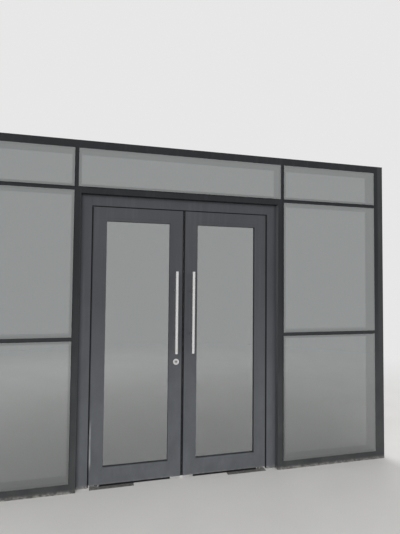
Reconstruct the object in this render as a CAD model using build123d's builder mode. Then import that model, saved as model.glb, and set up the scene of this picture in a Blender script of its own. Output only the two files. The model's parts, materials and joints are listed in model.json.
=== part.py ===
"""Double-leaf glass entrance door in a glazed aluminium screen with sidelights and a top light.

Lengths are in millimetres. The origin lies on the floor line, midway between the two leaves, in
the plane of the outer face of the fixed glass. +X runs to the right seen from outside, +Y runs
into the building and +Z is up. Most pieces are made on the right and mirrored to the left.
"""
import os

from build123d import *

os.makedirs("parts", exist_ok=True)

# Screen members
overall_width = 3784
overall_height = 2700
doorway_width = 1658
top_light_height = 256
mid_rail_height = 1155
jamb_face = 120
head_face = 90
divider_face = 70
bottom_rail_face = 95
tube_depth = 100
tube_wall = 2.5
edge_break = 0.8

# Fixed glass, laid on the front of the members
glass_thickness = 8
glass_arris = 0.8
joint_width = 30
edge_lap = 20
head_lap = 25
tape_thickness = 2
tape_width = 12
tape_inset = 3

# Cleats in the butt joints of the screen
cleat_length = 50
cleat_wall = 4
inner_clearance = 0.3

# Anchor holes to the building, in one row along each member
anchor_radius = 5
anchor_access_width = 18
anchor_count = 3
jamb_anchor_from_end = 300
head_anchor_from_end = 272

# Door frame between the mullions
door_frame_face = 84
door_frame_depth = 50
door_frame_wall = 2

# Leaves and the gaps round them
leaf_thickness = 45
leaf_wall = 2.2
hinge_gap = 7
top_gap = 8
meeting_gap = 20
floor_gap = 18
stile_face = 86
top_rail_face = 88
leaf_bottom_rail_face = 106
nose_corner_radius = 10
meeting_corner_radius = 3
bead_face = 22
bead_wall = 1.6
bead_recess = 0.5
bead_joint_gap = 0.2
leaf_glass_thickness = 8
leaf_glass_cover = 12
gasket_thickness = 3
gasket_face = 8
gasket_lip = 1.5
corner_block_length = 60

# Pile seals and the grooves that hold them
seal_line_offset = 15
groove_mouth = 4.8
groove_width = 7
groove_depth = 4
groove_lip = 1.5
groove_boss_width = 11
groove_boss_depth = 7
pile_width = 4.4
pile_clearance = 0.5

# Pivots
pivot_setback = 60
pivot_pin_radius = 7
running_clearance = 0.05
pivot_engagement = 16
pivot_boss_height = 21
pivot_plate_length = 243
pivot_plate_width = 26
pivot_plate_thickness = 6
pivot_housing_length = 60
pivot_housing_height = 30
pin_cutout_width = 20
hole_clearance = 0.1

# Floor springs
floor_box_length = 340
floor_box_width = 120
floor_box_depth = 56
floor_box_wall = 2
box_end_to_pivot = 50
cover_thickness = 3
cover_rise = 1.5
cover_hole_radius = 17
closer_length = 250
closer_width = 84
closer_height = 42
closer_end_to_pivot = 35
spindle_radius = 12
spindle_depth = 30
spindle_flat_length = 18
spindle_flat_width = 12
spindle_flat_height = 20
arm_length = 230
arm_width = 24
arm_height = 24

# Pulls
pull_radius = 12.5
pull_length = 662
pull_above_lock = 78
pull_inset = 59
pull_standoff = 80
post_radius = 8
post_spacing = 352

# Plates let into the meeting edges
edge_plate_width = 20
edge_plate_clearance = 0.2

# Lock in the left leaf
lock_height = 944
lock_backset = 47
lock_ring_radius = 24.5
lock_ring_height = 5
cylinder_radius = 15
cylinder_projection = 6
plug_radius = 7
plug_length = 20
plug_projection = 1
key_slot_width = 1.8
key_slot_height = 9
key_slot_depth = 10
turn_stem_radius = 5
turn_stem_depth = 18
turn_knob_length = 32
turn_knob_width = 11
turn_knob_height = 16
turn_knob_corner = 3
turn_knob_gap = 1
lock_plate_height = 170
lock_plate_rise = 18
lock_case_length = 66
lock_case_width = 18
lock_case_height = 120
bolt_above_cylinder = 36
bolt_height = 26
bolt_width = 12
bolt_length = 54
bolt_recess = 0.4
bolt_bevel = 1
strike_plate_height = 110
strike_clearance = 1.5
strike_box_depth = 16
strike_box_wall = 1.2

# Flush bolts in the right leaf
flush_plate_height = 160
flush_plate_from_end = 130
flush_bar_width = 10
flush_bar_inset = 16
flush_bar_recess = 1
flush_travel = 30
flush_guide_height = 40
flush_guide_width = 15
flush_guide_wall = 4
flush_tab_width = 8
flush_tab_height = 12
flush_tab_recess = 0.5
keeper_hole_width = 12
keeper_length = 50
keeper_width = 18
keeper_thickness = 1.5

# Places in the screen
half_width = overall_width / 2
tube_front = glass_thickness + tape_thickness
tube_middle = tube_front + tube_depth / 2
tube_back = tube_front + tube_depth
mullion_inner = doorway_width / 2
mullion_middle = mullion_inner + divider_face / 2
mullion_outer = mullion_inner + divider_face
jamb_inner = half_width - jamb_face
jamb_middle = half_width - jamb_face / 2
head_underside = overall_height - head_face
head_middle = overall_height - head_face / 2
transom_middle = head_underside - top_light_height - divider_face / 2
doorway_height = transom_middle - divider_face / 2
jamb_anchor_spacing = (overall_height - 2 * jamb_anchor_from_end) / (anchor_count - 1)
head_anchor_spacing = (2 * jamb_inner - 2 * head_anchor_from_end) / (anchor_count - 1)

# Places in the door
door_middle_y = tube_back - door_frame_depth / 2
door_jamb_inner = mullion_inner - door_frame_face
door_head_underside = doorway_height - door_frame_face
leaf_front = door_middle_y - leaf_thickness / 2
leaf_back = door_middle_y + leaf_thickness / 2
leaf_inner = meeting_gap / 2
leaf_outer = door_jamb_inner - hinge_gap
leaf_bottom = floor_gap
leaf_top = door_head_underside - top_gap
rail_inner = leaf_inner + stile_face
rail_outer = leaf_outer - stile_face
low_rail_top = leaf_bottom + leaf_bottom_rail_face
top_rail_underside = leaf_top - top_rail_face
pile_y = door_middle_y - seal_line_offset
edge_plate_y = pile_y + groove_boss_width / 2 + inner_clearance + edge_plate_width / 2
bead_depth = (leaf_thickness - leaf_glass_thickness) / 2 - gasket_thickness - bead_recess
daylight_inner = rail_inner + bead_face
daylight_outer = rail_outer - bead_face
daylight_low = low_rail_top + bead_face
daylight_high = top_rail_underside - bead_face

# Places of the pivots and floor springs
pivot_x = leaf_outer - pivot_setback
plate_top = leaf_top - leaf_wall
plate_underside = plate_top - pivot_plate_thickness
arm_underside = leaf_bottom + groove_boss_depth
arm_top = arm_underside + arm_height
cover_underside = cover_rise - cover_thickness
box_underside = cover_underside - floor_box_depth
closer_top = box_underside + floor_box_wall + closer_height

# Places of the pulls, lock and bolts
pull_low = lock_height + pull_above_lock
pull_middle_height = pull_low + pull_length / 2
pull_x = leaf_inner + pull_inset
lock_x = leaf_inner + lock_backset
lock_plate_middle = lock_height + lock_plate_rise
bolt_middle = lock_height + bolt_above_cylinder
flush_bar_x = leaf_inner + flush_bar_inset
low_flush_plate_middle = leaf_bottom + flush_plate_from_end
top_flush_plate_middle = leaf_top - flush_plate_from_end


def finish(piece, name):
    """Names a finished piece and writes it."""
    piece.part.label = name
    export_step(piece.part, f"parts/{name}.step")


def finish_pair(piece, name):
    """Writes a right-hand piece and its mirror image."""
    finish(piece, f"right_{name}")
    with BuildPart() as mirrored:
        mirror(piece.part, about=Plane.YZ)
    finish(mirrored, f"left_{name}")


def sharp_section(width, depth, wall):
    """A closed hollow section round the origin, with sharp corners."""
    with BuildSketch(mode=Mode.PRIVATE) as section:
        Rectangle(width, depth)
        Rectangle(width - 2 * wall, depth - 2 * wall, mode=Mode.SUBTRACT)
    return section.sketch


def hollow_section(width, depth, wall):
    """A closed hollow section round the origin, with broken outer corners."""
    with BuildSketch(mode=Mode.PRIVATE) as section:
        Rectangle(width, depth)
        chamfer(section.vertices(), edge_break)
        Rectangle(width - 2 * wall, depth - 2 * wall, mode=Mode.SUBTRACT)
    return section.sketch


def seal_groove(width):
    """The boss of a seal groove in the low X side of a section, and the T-shaped space in it."""
    with BuildSketch(Plane.XY, mode=Mode.PRIVATE) as boss:
        with Locations((-width / 2, -seal_line_offset)):
            Rectangle(groove_boss_depth, groove_boss_width, align=(Align.MIN, Align.CENTER))
    with BuildSketch(Plane.XY, mode=Mode.PRIVATE) as space:
        with Locations((-width / 2, -seal_line_offset)):
            Rectangle(2 * groove_lip, groove_mouth)
        with Locations((-width / 2 + groove_lip, -seal_line_offset)):
            Rectangle(groove_depth, groove_width, align=(Align.MIN, Align.CENTER))
    return boss.sketch, space.sketch


def grooved_section(width, depth, wall):
    """A hollow section with a seal groove in its low X side, towards its low Y side."""
    boss, space = seal_groove(width)
    with BuildSketch(mode=Mode.PRIVATE) as section:
        add(hollow_section(width, depth, wall))
        add(boss)
        add(space, mode=Mode.SUBTRACT)
    return section.sketch


def pile_section(width, reach):
    """A pile seal for the groove of a section of that width, reaching out of its low X side."""
    stem_length = reach + groove_lip + groove_depth / 2
    backing_depth = groove_depth - 2 * inner_clearance
    with BuildSketch(mode=Mode.PRIVATE) as section:
        with Locations((-width / 2 - reach, -seal_line_offset)):
            Rectangle(stem_length, pile_width, align=(Align.MIN, Align.CENTER))
        with Locations((-width / 2 + groove_lip + groove_depth / 2, -seal_line_offset)):
            Rectangle(backing_depth, groove_width - 2 * inner_clearance)
    return section.sketch


def meeting_stile_section():
    """A grooved section with rounded corners at the meeting edge."""
    boss, space = seal_groove(stile_face)
    with BuildSketch(mode=Mode.PRIVATE) as section:
        Rectangle(stile_face, leaf_thickness)
        fillet(section.vertices().group_by(Axis.X)[0], meeting_corner_radius)
        Rectangle(stile_face - 2 * leaf_wall, leaf_thickness - 2 * leaf_wall, mode=Mode.SUBTRACT)
        add(boss)
        add(space, mode=Mode.SUBTRACT)
    return section.sketch


def hinge_stile_section():
    """A hollow section whose nose is an arc round the pivot, drawn with the pivot at the origin."""
    inner_face = -(stile_face - pivot_setback)
    with BuildSketch(mode=Mode.PRIVATE) as section:
        with Locations((inner_face, 0)):
            Rectangle(stile_face, leaf_thickness, align=(Align.MIN, Align.CENTER))
        Circle(pivot_setback, mode=Mode.INTERSECT)
        fillet(section.vertices().group_by(Axis.X)[-1], nose_corner_radius)
        with BuildSketch(mode=Mode.PRIVATE) as hollow:
            with Locations((inner_face + leaf_wall, 0)):
                Rectangle(
                    stile_face, leaf_thickness - 2 * leaf_wall, align=(Align.MIN, Align.CENTER)
                )
            Circle(pivot_setback - leaf_wall, mode=Mode.INTERSECT)
            fillet(hollow.vertices().group_by(Axis.X)[-1], nose_corner_radius - leaf_wall)
        add(hollow.sketch, mode=Mode.SUBTRACT)
    return section.sketch


def upright(section, x, y, z_low, z_high):
    """A bar along Z. The section's X runs along X."""
    with BuildPart(mode=Mode.PRIVATE) as bar:
        with BuildSketch(Plane(origin=(x, y, z_low))):
            add(section)
        extrude(amount=z_high - z_low)
    return bar.part


def crossbar(section, x_low, x_high, y, z):
    """A bar along X. The section's X runs up, so its low X side is the underside."""
    with BuildPart(mode=Mode.PRIVATE) as bar:
        with BuildSketch(Plane(origin=(x_high, y, z), x_dir=(0, 0, 1), z_dir=(-1, 0, 0))):
            add(section)
        extrude(amount=x_high - x_low)
    return bar.part


def block(x_low, x_high, y_low, y_high, z_low, z_high):
    """A plain block between two corners."""
    with BuildPart(mode=Mode.PRIVATE) as solid:
        with BuildSketch(Plane(origin=((x_low + x_high) / 2, (y_low + y_high) / 2, z_low))):
            Rectangle(x_high - x_low, y_high - y_low)
        extrude(amount=z_high - z_low)
    return solid.part


def rod(start, direction, radius, length):
    """A round bar from a start point."""
    with BuildPart(mode=Mode.PRIVATE) as bar:
        with BuildSketch(Plane(origin=start, z_dir=direction)):
            Circle(radius)
        extrude(amount=length)
    return bar.part


def border(x_low, x_high, z_low, z_high, width, y_low, y_high):
    """Four strips inside the edges of an upright rectangle."""
    return [
        block(x_low, x_low + width, y_low, y_high, z_low, z_high),
        block(x_high - width, x_high, y_low, y_high, z_low, z_high),
        block(x_low + width, x_high - width, y_low, y_high, z_low, z_low + width),
        block(x_low + width, x_high - width, y_low, y_high, z_high - width, z_high),
    ]


# Screen: uprights
with BuildPart() as outer_jambs:
    add(
        upright(
            hollow_section(jamb_face, tube_depth, tube_wall),
            jamb_middle,
            tube_middle,
            0,
            overall_height,
        )
    )
    wall_side = Plane(
        origin=(half_width, tube_middle, overall_height / 2), x_dir=(0, 1, 0), z_dir=(1, 0, 0)
    )
    with BuildSketch(wall_side):
        with GridLocations(0, jamb_anchor_spacing, 1, anchor_count):
            Circle(anchor_radius)
    extrude(amount=-tube_wall, mode=Mode.SUBTRACT)
    with BuildSketch(wall_side.offset(tube_wall - jamb_face)):
        with GridLocations(0, jamb_anchor_spacing, 1, anchor_count):
            Rectangle(anchor_access_width, anchor_access_width)
    extrude(amount=-tube_wall, mode=Mode.SUBTRACT)
    mirror(about=Plane.YZ)
finish(outer_jambs, "outer_jambs")

with BuildPart() as mullions:
    add(
        upright(
            hollow_section(divider_face, tube_depth, tube_wall),
            mullion_middle,
            tube_middle,
            0,
            head_underside,
        )
    )
    mirror(about=Plane.YZ)
finish(mullions, "mullions")


# Screen: cross members
def screen_crossbar(face, x_low, x_high, z):
    """A cross member between two uprights, at the height of its middle."""
    section = hollow_section(face, tube_depth, tube_wall)
    return crossbar(section, x_low, x_high, tube_middle, z)


with BuildPart() as head:
    add(screen_crossbar(head_face, -jamb_inner, jamb_inner, head_middle))
    top_side = Plane(origin=(0, tube_middle, overall_height))
    with BuildSketch(top_side):
        with GridLocations(head_anchor_spacing, 0, anchor_count, 1):
            Circle(anchor_radius)
    extrude(amount=-tube_wall, mode=Mode.SUBTRACT)
    with BuildSketch(top_side.offset(tube_wall - head_face)):
        with GridLocations(head_anchor_spacing, 0, anchor_count, 1):
            Rectangle(anchor_access_width, anchor_access_width)
    extrude(amount=-tube_wall, mode=Mode.SUBTRACT)
finish(head, "head")

with BuildPart() as door_transom:
    add(screen_crossbar(divider_face, -mullion_inner, mullion_inner, transom_middle))
finish(door_transom, "door_transom")

with BuildPart() as sidelight_rails:
    for height in (mid_rail_height, transom_middle):
        add(screen_crossbar(divider_face, mullion_outer, jamb_inner, height))
    mirror(about=Plane.YZ)
finish(sidelight_rails, "sidelight_rails")

with BuildPart() as bottom_rails:
    add(screen_crossbar(bottom_rail_face, mullion_outer, jamb_inner, bottom_rail_face / 2))
    mirror(about=Plane.YZ)
finish(bottom_rails, "bottom_rails")


# Screen: joints
def seat(x, z, direction):
    """The plane on a member that a butting member of the screen runs away from."""
    return Plane(origin=(x, tube_middle, z), x_dir=(0, 1, 0), z_dir=direction)


def cleat(base, depth, height, length):
    """A channel on a base plane, to fit inside a hollow member of that inner depth and height."""
    outer_depth = depth - 2 * inner_clearance
    with BuildPart(mode=Mode.PRIVATE) as channel:
        with BuildSketch(base):
            Rectangle(outer_depth, height - 2 * inner_clearance)
        extrude(amount=length)
        with BuildSketch(base.offset(cleat_wall)):
            Rectangle(outer_depth - 2 * cleat_wall, height)
        extrude(amount=length, mode=Mode.SUBTRACT)
    return channel.part


left_way = (-1, 0, 0)
right_way = (1, 0, 0)
joints = [
    (seat(jamb_inner, head_middle, left_way), head_face),
    (seat(mullion_inner, transom_middle, left_way), divider_face),
    (seat(mullion_middle, head_underside, (0, 0, -1)), divider_face),
]
for height, face in (
    (bottom_rail_face / 2, bottom_rail_face),
    (mid_rail_height, divider_face),
    (transom_middle, divider_face),
):
    joints.append((seat(mullion_outer, height, right_way), face))
    joints.append((seat(jamb_inner, height, left_way), face))

with BuildPart() as frame_cleats:
    for base, face in joints:
        add(cleat(base, tube_depth - 2 * tube_wall, face - 2 * tube_wall, cleat_length))
    mirror(about=Plane.YZ)
finish(frame_cleats, "frame_cleats")


# Fixed glass and its tape
def pane(x_low, x_high, z_low, z_high):
    """A fixed pane with its front and back edges ground to an arris."""
    with BuildPart(mode=Mode.PRIVATE) as sheet:
        add(block(x_low, x_high, 0, glass_thickness, z_low, z_high))
        faces = sheet.faces().filter_by(Axis.Y)
        chamfer(faces.edges(), glass_arris)
    return sheet.part


half_joint = joint_width / 2
glass_top = head_underside + head_lap
transom_pane = (half_joint - mullion_middle, mullion_middle - half_joint)
side_pane = (mullion_middle + half_joint, jamb_inner + edge_lap)
top_row = (transom_middle + half_joint, glass_top)
middle_row = (mid_rail_height + half_joint, transom_middle - half_joint)
lower_row = (bottom_rail_face - edge_lap, mid_rail_height - half_joint)

with BuildPart() as transom_glass:
    add(pane(*transom_pane, *top_row))
finish(transom_glass, "transom_glass")

for row_name, row in (("top", top_row), ("middle", middle_row), ("lower", lower_row)):
    with BuildPart() as side_glass:
        add(pane(*side_pane, *row))
    finish_pair(side_glass, f"{row_name}_glass")

with BuildPart() as glazing_tapes:
    for columns, row in (
        (side_pane, top_row),
        (side_pane, middle_row),
        (side_pane, lower_row),
    ):
        add(
            border(
                columns[0] + tape_inset,
                columns[1] - tape_inset,
                row[0] + tape_inset,
                row[1] - tape_inset,
                tape_width,
                glass_thickness,
                tube_front,
            )
        )
    mirror(about=Plane.YZ)
    add(
        border(
            transom_pane[0] + tape_inset,
            transom_pane[1] - tape_inset,
            top_row[0] + tape_inset,
            top_row[1] - tape_inset,
            tape_width,
            glass_thickness,
            tube_front,
        )
    )
finish(glazing_tapes, "glazing_tapes")

# Door frame
door_frame_section = grooved_section(door_frame_face, door_frame_depth, door_frame_wall)
door_jamb_middle = door_jamb_inner + door_frame_face / 2
door_head_middle = door_head_underside + door_frame_face / 2

with BuildPart() as door_jambs:
    add(upright(door_frame_section, door_jamb_middle, door_middle_y, 0, doorway_height))
    mirror(about=Plane.YZ)
finish(door_jambs, "door_jambs")

with BuildPart() as door_head:
    add(
        crossbar(
            door_frame_section,
            -door_jamb_inner,
            door_jamb_inner,
            door_middle_y,
            door_head_middle,
        )
    )
    for side in (-1, 1):
        with BuildSketch(Plane(origin=(side * pivot_x, door_middle_y, door_head_underside))):
            Rectangle(pin_cutout_width, pin_cutout_width)
        extrude(amount=door_frame_wall, mode=Mode.SUBTRACT)
    keeper_place = (flush_bar_x, edge_plate_y, door_head_underside)
    with BuildSketch(Plane(origin=keeper_place)):
        Rectangle(keeper_hole_width, keeper_hole_width)
    extrude(amount=door_frame_wall, mode=Mode.SUBTRACT)
finish(door_head, "door_head")

# Seals in the door frame
pile_near_side = seal_line_offset - pile_width / 2
nose_at_pile = pivot_x + (pivot_setback**2 - pile_near_side**2) ** 0.5
jamb_pile_reach = door_jamb_inner - nose_at_pile - pile_clearance
head_pile_end = door_jamb_inner - jamb_pile_reach - inner_clearance

with BuildPart() as frame_seals:
    jamb_pile = pile_section(door_frame_face, jamb_pile_reach)
    seal_foot = cover_rise + pile_clearance
    add(upright(jamb_pile, door_jamb_middle, door_middle_y, seal_foot, door_head_underside))
    mirror(about=Plane.YZ)
    head_pile = pile_section(door_frame_face, top_gap - pile_clearance)
    add(crossbar(head_pile, -head_pile_end, head_pile_end, door_middle_y, door_head_middle))
finish(frame_seals, "frame_seals")

# Top pivots, in the door head
with BuildPart() as top_pivots:
    housing_floor = door_head_underside + door_frame_wall
    housing_back = door_middle_y + door_frame_depth / 2 - door_frame_wall - inner_clearance
    add(
        block(
            pivot_x - pivot_housing_length / 2,
            pivot_x + pivot_housing_length / 2,
            pile_y + groove_boss_width / 2 + inner_clearance,
            housing_back,
            housing_floor,
            housing_floor + pivot_housing_height,
        )
    )
    pin_length = door_frame_wall + top_gap + pivot_engagement
    add(rod((pivot_x, door_middle_y, housing_floor), (0, 0, -1), pivot_pin_radius, pin_length))
    mirror(about=Plane.YZ)
finish(top_pivots, "top_pivots")

with BuildPart() as top_bolt_keeper:
    with BuildSketch(Plane(origin=keeper_place, z_dir=(0, 0, -1))):
        Rectangle(keeper_length, keeper_width)
        Rectangle(keeper_hole_width, keeper_hole_width, mode=Mode.SUBTRACT)
    extrude(amount=keeper_thickness)
finish(top_bolt_keeper, "top_bolt_keeper")

# Floor springs
box_high_x = pivot_x + box_end_to_pivot
box_low_x = box_high_x - floor_box_length
box_low_y = door_middle_y - floor_box_width / 2
box_high_y = door_middle_y + floor_box_width / 2

with BuildPart() as floor_boxes:
    add(block(box_low_x, box_high_x, box_low_y, box_high_y, box_underside, cover_underside))
    pocket = block(
        box_low_x + floor_box_wall,
        box_high_x - floor_box_wall,
        box_low_y + floor_box_wall,
        box_high_y - floor_box_wall,
        box_underside + floor_box_wall,
        cover_underside,
    )
    add(pocket, mode=Mode.SUBTRACT)
    mirror(about=Plane.YZ)
finish(floor_boxes, "floor_boxes")

with BuildPart() as floor_covers:
    add(block(box_low_x, box_high_x, box_low_y, box_high_y, cover_underside, cover_rise))
    chamfer(floor_covers.faces().sort_by(Axis.Z)[-1].edges(), edge_break)
    spindle_hole = rod(
        (pivot_x, door_middle_y, cover_underside), (0, 0, 1), cover_hole_radius, cover_thickness
    )
    add(spindle_hole, mode=Mode.SUBTRACT)
    mirror(about=Plane.YZ)
finish(floor_covers, "floor_covers")

with BuildPart() as floor_springs:
    closer_high_x = pivot_x + closer_end_to_pivot
    add(
        block(
            closer_high_x - closer_length,
            closer_high_x,
            door_middle_y - closer_width / 2,
            door_middle_y + closer_width / 2,
            closer_top - closer_height,
            closer_top,
        )
    )
    spindle_bore = rod(
        (pivot_x, door_middle_y, closer_top),
        (0, 0, -1),
        spindle_radius + running_clearance,
        spindle_depth,
    )
    add(spindle_bore, mode=Mode.SUBTRACT)
    mirror(about=Plane.YZ)
finish(floor_springs, "floor_springs")

with BuildPart() as spindle:
    spindle_foot = closer_top - spindle_depth + running_clearance
    add(
        rod(
            (pivot_x, door_middle_y, spindle_foot),
            (0, 0, 1),
            spindle_radius,
            arm_underside - spindle_foot,
        )
    )
    add(
        block(
            pivot_x - spindle_flat_length / 2,
            pivot_x + spindle_flat_length / 2,
            door_middle_y - spindle_flat_width / 2,
            door_middle_y + spindle_flat_width / 2,
            arm_underside,
            arm_underside + spindle_flat_height,
        )
    )
finish_pair(spindle, "spindle")

with BuildPart() as bottom_arm:
    with BuildSketch(Plane.XY.offset(arm_underside)):
        with Locations((pivot_x, door_middle_y)):
            Rectangle(arm_length, arm_width, align=(Align.MAX, Align.CENTER))
            Circle(arm_width / 2)
    extrude(amount=arm_height)
    with BuildSketch(Plane.XY.offset(arm_underside)):
        with Locations((pivot_x, door_middle_y)):
            Rectangle(
                spindle_flat_length + 2 * hole_clearance, spindle_flat_width + 2 * hole_clearance
            )
    extrude(amount=spindle_flat_height + inner_clearance, mode=Mode.SUBTRACT)
finish_pair(bottom_arm, "bottom_arm")

with BuildPart() as top_pivot_plate:
    plate_end = pivot_x + pivot_plate_width / 2
    add(
        block(
            plate_end - pivot_plate_length,
            plate_end,
            door_middle_y - pivot_plate_width / 2,
            door_middle_y + pivot_plate_width / 2,
            plate_underside,
            plate_top,
        )
    )
    add(
        block(
            plate_end - pivot_plate_width,
            plate_end,
            door_middle_y - pivot_plate_width / 2,
            door_middle_y + pivot_plate_width / 2,
            plate_top - pivot_boss_height,
            plate_underside,
        )
    )
    pin_bore = rod(
        (pivot_x, door_middle_y, plate_top),
        (0, 0, -1),
        pivot_pin_radius + running_clearance,
        pivot_boss_height,
    )
    add(pin_bore, mode=Mode.SUBTRACT)
finish_pair(top_pivot_plate, "top_pivot_plate")

# Leaf tubes
with BuildPart() as hinge_stile:
    add(upright(hinge_stile_section(), pivot_x, door_middle_y, leaf_bottom, leaf_top))
    plate_slot = block(
        rail_outer,
        rail_outer + leaf_wall,
        door_middle_y - pivot_plate_width / 2 - inner_clearance,
        door_middle_y + pivot_plate_width / 2 + inner_clearance,
        plate_underside - inner_clearance,
        leaf_top,
    )
    add(plate_slot, mode=Mode.SUBTRACT)
    arm_slot = block(
        rail_outer,
        rail_outer + leaf_wall,
        door_middle_y - arm_width / 2 - inner_clearance,
        door_middle_y + arm_width / 2 + inner_clearance,
        leaf_bottom,
        arm_top + inner_clearance,
    )
    add(arm_slot, mode=Mode.SUBTRACT)
finish_pair(hinge_stile, "hinge_stile")


def meeting_stile(slots):
    """The right meeting stile, with slots through its edge, each a middle height and a length."""
    with BuildPart(mode=Mode.PRIVATE) as stile:
        middle_x = leaf_inner + stile_face / 2
        add(upright(meeting_stile_section(), middle_x, door_middle_y, leaf_bottom, leaf_top))
        slot_side = edge_plate_width / 2 + edge_plate_clearance
        for slot_middle, slot_length in slots:
            slot_end = slot_length / 2 + edge_plate_clearance
            slot = block(
                leaf_inner,
                leaf_inner + leaf_wall,
                edge_plate_y - slot_side,
                edge_plate_y + slot_side,
                slot_middle - slot_end,
                slot_middle + slot_end,
            )
            add(slot, mode=Mode.SUBTRACT)
    return stile.part


cylinder_bore = rod(
    (-lock_x, leaf_front, lock_height), (0, 1, 0), cylinder_radius + hole_clearance, leaf_thickness
)

with BuildPart() as left_meeting_stile:
    mirror(meeting_stile([(lock_plate_middle, lock_plate_height)]), about=Plane.YZ)
    add(cylinder_bore, mode=Mode.SUBTRACT)
finish(left_meeting_stile, "left_meeting_stile")

with BuildPart() as right_meeting_stile:
    bolt_slots = [
        (bolt_middle, strike_plate_height),
        (low_flush_plate_middle, flush_plate_height),
        (top_flush_plate_middle, flush_plate_height),
    ]
    add(meeting_stile(bolt_slots))
finish(right_meeting_stile, "right_meeting_stile")

with BuildPart() as top_rail:
    rail_section = hollow_section(top_rail_face, leaf_thickness, leaf_wall)
    rail_height = leaf_top - top_rail_face / 2
    add(crossbar(rail_section, rail_inner, rail_outer, door_middle_y, rail_height))
finish_pair(top_rail, "top_rail")

with BuildPart() as bottom_rail:
    rail_section = grooved_section(leaf_bottom_rail_face, leaf_thickness, leaf_wall)
    rail_height = leaf_bottom + leaf_bottom_rail_face / 2
    add(crossbar(rail_section, rail_inner, rail_outer, door_middle_y, rail_height))
finish_pair(bottom_rail, "bottom_rail")

# Corner blocks, in the ends of the leaf rails
with BuildPart() as corner_blocks:
    inner_depth = leaf_thickness - 2 * leaf_wall
    low_floor = leaf_bottom + groove_boss_depth
    low_ceiling = low_rail_top - leaf_wall
    high_floor = top_rail_underside + leaf_wall
    for x, direction, z_low, z_high in (
        (rail_inner, right_way, low_floor, low_ceiling),
        (rail_inner, right_way, high_floor, plate_top),
        (rail_outer, left_way, arm_top, low_ceiling),
        (rail_outer, left_way, high_floor, plate_underside),
    ):
        base = Plane(
            origin=(x, door_middle_y, (z_low + z_high) / 2), x_dir=(0, 1, 0), z_dir=direction
        )
        add(cleat(base, inner_depth, z_high - z_low, corner_block_length))
finish_pair(corner_blocks, "corner_blocks")

# Leaf glass, its gaskets and beads
with BuildPart() as leaf_glass:
    add(
        block(
            daylight_inner - leaf_glass_cover,
            daylight_outer + leaf_glass_cover,
            door_middle_y - leaf_glass_thickness / 2,
            door_middle_y + leaf_glass_thickness / 2,
            daylight_low - leaf_glass_cover,
            daylight_high + leaf_glass_cover,
        )
    )
finish_pair(leaf_glass, "leaf_glass")

gasket_hidden = gasket_face - gasket_lip
glass_front = door_middle_y - leaf_glass_thickness / 2

with BuildPart() as gaskets:
    add(
        border(
            daylight_inner - gasket_hidden,
            daylight_outer + gasket_hidden,
            daylight_low - gasket_hidden,
            daylight_high + gasket_hidden,
            gasket_face,
            glass_front - gasket_thickness,
            glass_front,
        )
    )
    mirror(about=Plane.XZ.offset(-door_middle_y))
finish_pair(gaskets, "gaskets")

with BuildPart() as beads:
    bead_section = sharp_section(bead_face, bead_depth, bead_wall)
    bead_y = leaf_front + bead_recess + bead_depth / 2
    for x in (rail_inner + bead_face / 2, rail_outer - bead_face / 2):
        add(upright(bead_section, x, bead_y, low_rail_top, top_rail_underside))
    for z in (low_rail_top + bead_face / 2, top_rail_underside - bead_face / 2):
        bead_start = daylight_inner + bead_joint_gap
        bead_end = daylight_outer - bead_joint_gap
        add(crossbar(bead_section, bead_start, bead_end, bead_y, z))
    mirror(about=Plane.XZ.offset(-door_middle_y))
finish_pair(beads, "beads")

# Seals on the leaves
with BuildPart() as leaf_seals:
    meeting_pile = pile_section(stile_face, meeting_gap / 2 - pile_clearance)
    stile_middle = leaf_inner + stile_face / 2
    add(upright(meeting_pile, stile_middle, door_middle_y, leaf_bottom, leaf_top))
    floor_pile = pile_section(leaf_bottom_rail_face, floor_gap - cover_rise - pile_clearance)
    rail_height = leaf_bottom + leaf_bottom_rail_face / 2
    add(crossbar(floor_pile, rail_inner, rail_outer, door_middle_y, rail_height))
finish_pair(leaf_seals, "leaf_seals")

# Pulls: a bar on two posts on each face of the leaf
with BuildPart() as pulls:
    add(rod((pull_x, leaf_front - pull_standoff, pull_low), (0, 0, 1), pull_radius, pull_length))
    for height in (pull_middle_height - post_spacing / 2, pull_middle_height + post_spacing / 2):
        add(rod((pull_x, leaf_front, height), (0, -1, 0), post_radius, pull_standoff))
    mirror(about=Plane.XZ.offset(-door_middle_y))
finish_pair(pulls, "pulls")

# Lock, in the left leaf
with BuildPart() as lock_case:
    case_front = -(leaf_inner + leaf_wall)
    add(
        block(
            case_front - lock_case_length,
            case_front,
            edge_plate_y - lock_case_width / 2,
            edge_plate_y + lock_case_width / 2,
            lock_plate_middle - lock_case_height / 2,
            lock_plate_middle + lock_case_height / 2,
        )
    )
    add(
        block(
            case_front,
            -leaf_inner,
            edge_plate_y - edge_plate_width / 2,
            edge_plate_y + edge_plate_width / 2,
            lock_plate_middle - lock_plate_height / 2,
            lock_plate_middle + lock_plate_height / 2,
        )
    )
    bolt_channel = block(
        -(leaf_inner + bolt_recess + bolt_length + inner_clearance),
        -leaf_inner,
        edge_plate_y - bolt_width / 2 - inner_clearance,
        edge_plate_y + bolt_width / 2 + inner_clearance,
        bolt_middle - bolt_height / 2 - inner_clearance,
        bolt_middle + bolt_height / 2 + inner_clearance,
    )
    add(bolt_channel, mode=Mode.SUBTRACT)
    add(cylinder_bore, mode=Mode.SUBTRACT)
finish(lock_case, "lock_case")

with BuildPart() as lock_bolt:
    bolt_front = -(leaf_inner + bolt_recess)
    add(
        block(
            bolt_front - bolt_length,
            bolt_front,
            edge_plate_y - bolt_width / 2,
            edge_plate_y + bolt_width / 2,
            bolt_middle - bolt_height / 2,
            bolt_middle + bolt_height / 2,
        )
    )
    chamfer(lock_bolt.faces().sort_by(Axis.X)[-1].edges(), bolt_bevel)
finish(lock_bolt, "lock_bolt")

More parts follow.
